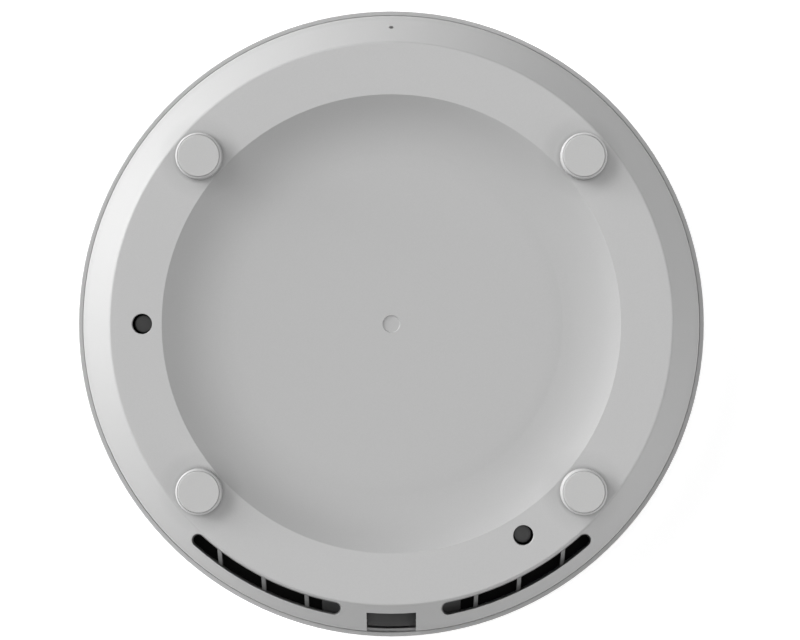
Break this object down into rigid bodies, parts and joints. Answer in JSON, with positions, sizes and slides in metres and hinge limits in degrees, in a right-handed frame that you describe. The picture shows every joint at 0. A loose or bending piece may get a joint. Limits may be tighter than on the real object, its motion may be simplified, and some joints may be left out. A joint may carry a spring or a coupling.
{
  "type": "ceiling access point",
  "caption": "Round ceiling access point: conical light-grey back with a shallow dish, foot pads, arc vents, Ethernet notch and reset pinhole, over a shallow domed front cover.",
  "frame": {"origin": "centre of the flat middle of the front cover, on the object's axis, at its lowest point", "axes": "+Z out of the back towards the ceiling, +Y towards the reset pinhole, -Y towards the Ethernet port"},
  "size_m": [0.2048, 0.2048, 0.0372],
  "materials": {
    "shell_grey": "light grey moulded plastic, fine matt spark texture",
    "cover_grey": "light grey moulded plastic, fine matt texture",
    "pad_grey": "light grey soft pad, satin",
    "plug_dark": "dark grey rubber",
    "dark_plastic": "dark grey plastic, matt",
    "solder_mask": "dark green solder mask over copper tracks",
    "jack_plastic": "black glass-filled plastic",
    "tin_steel": "tinned sheet steel",
    "contact_gold": "gold-plated contacts",
    "chip_black": "black moulding compound",
    "ferrite": "dark ferrite",
    "coil_tape": "yellow winding tape",
    "can_aluminium": "drawn aluminium can with a dark sleeve band",
    "thermal_pad": "grey-blue gap pad",
    "spreader_aluminium": "cast aluminium",
    "screw_steel": "zinc-plated steel",
    "antenna_brass": "stamped sheet brass",
    "holder_white": "natural white plastic",
    "lead_grey": "grey coaxial lead",
    "clear_pipe": "clear moulded light pipe",
    "led_white": "chip light",
    "switch_black": "black switch body",
    "button_white": "dark grey plunger"
  },
  "bodies": {
    "housing": {"antenna_1": "antenna_brass", "antenna_2": "antenna_brass", "antenna_3": "antenna_brass", "antenna_4": "antenna_brass", "antenna_cable_1": "lead_grey", "antenna_cable_2": "lead_grey", "antenna_cable_3": "lead_grey", "antenna_cable_4": "lead_grey", "antenna_holders": "holder_white", "antenna_sockets": "contact_gold", "board_screws": "screw_steel", "capacitors": "can_aluminium", "case_screws": "screw_steel", "ethernet_contacts": "contact_gold", "ethernet_jack_housing": "jack_plastic", "ethernet_jack_shield": "tin_steel", "foot_pad_1": "pad_grey", "foot_pad_2": "pad_grey", "foot_pad_3": "pad_grey", "foot_pad_4": "pad_grey", "frame_screws": "screw_steel", "front_cover": "cover_grey", "heat_spreader": "spreader_aluminium", "inner_frame": "dark_plastic", "lan_transformer": "chip_black", "light_pipe": "clear_pipe", "main_board": "solder_mask", "memory_chips": "chip_black", "poe_transformer_coil": "coil_tape", "poe_transformer_core": "ferrite", "port_bay": "dark_plastic", "power_chips": "chip_black", "power_inductors": "chip_black", "processor_chip": "chip_black", "radio_chips": "chip_black", "rear_shell": "shell_grey", "reset_holder": "dark_plastic", "reset_switch_body": "switch_black", "screw_plug_1": "plug_dark", "screw_plug_2": "plug_dark", "shield_frames": "tin_steel", "shield_lids": "tin_steel", "spreader_screws": "screw_steel", "status_led": "led_white", "thermal_pads": "thermal_pad"},
    "reset_key": {"reset_button": "button_white"}
  },
  "joints": [
    {"name": "reset_press", "type": "slide", "parent": "housing", "child": "reset_key", "axis": [0, -0.7431, -0.6691], "range_m": [0, 0.0003], "stiffness_N_per_m": 2000, "springref_m": -0.0002}
  ]
}
